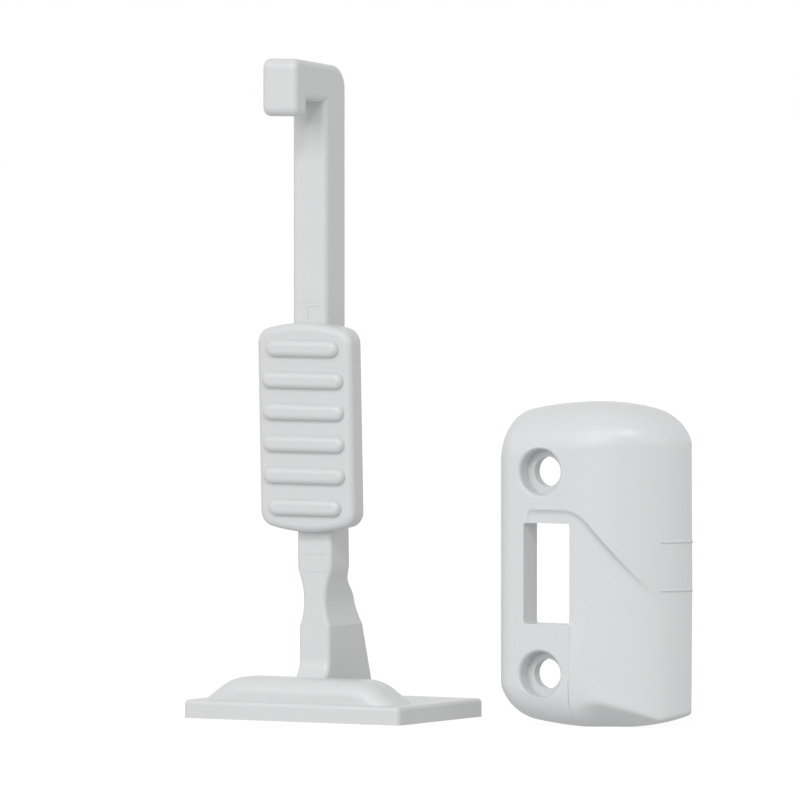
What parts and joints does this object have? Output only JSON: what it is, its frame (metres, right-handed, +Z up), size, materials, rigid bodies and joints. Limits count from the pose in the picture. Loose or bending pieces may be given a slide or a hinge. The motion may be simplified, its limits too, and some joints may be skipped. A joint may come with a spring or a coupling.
{
  "type": "child safety drawer lock",
  "caption": "Moulded drawer lock: a flexible latch arm with a hook and ribbed finger pad on a base plate, and the slotted screw-on catch it hooks into.",
  "frame": {"origin": "centre of the latch's base plate, on its underside", "axes": "+Z up along the latch's arm, -Y the way the hook, the ribbed pad and the catch's face look, +X from the latch to the catch"},
  "size_m": [0.0781, 0.029, 0.0991],
  "materials": {
    "latch_plastic": "satin",
    "catch_plastic": "satin"
  },
  "bodies": {
    "root": {"latch": "latch_plastic", "catch": "catch_plastic"}
  },
  "joints": []
}
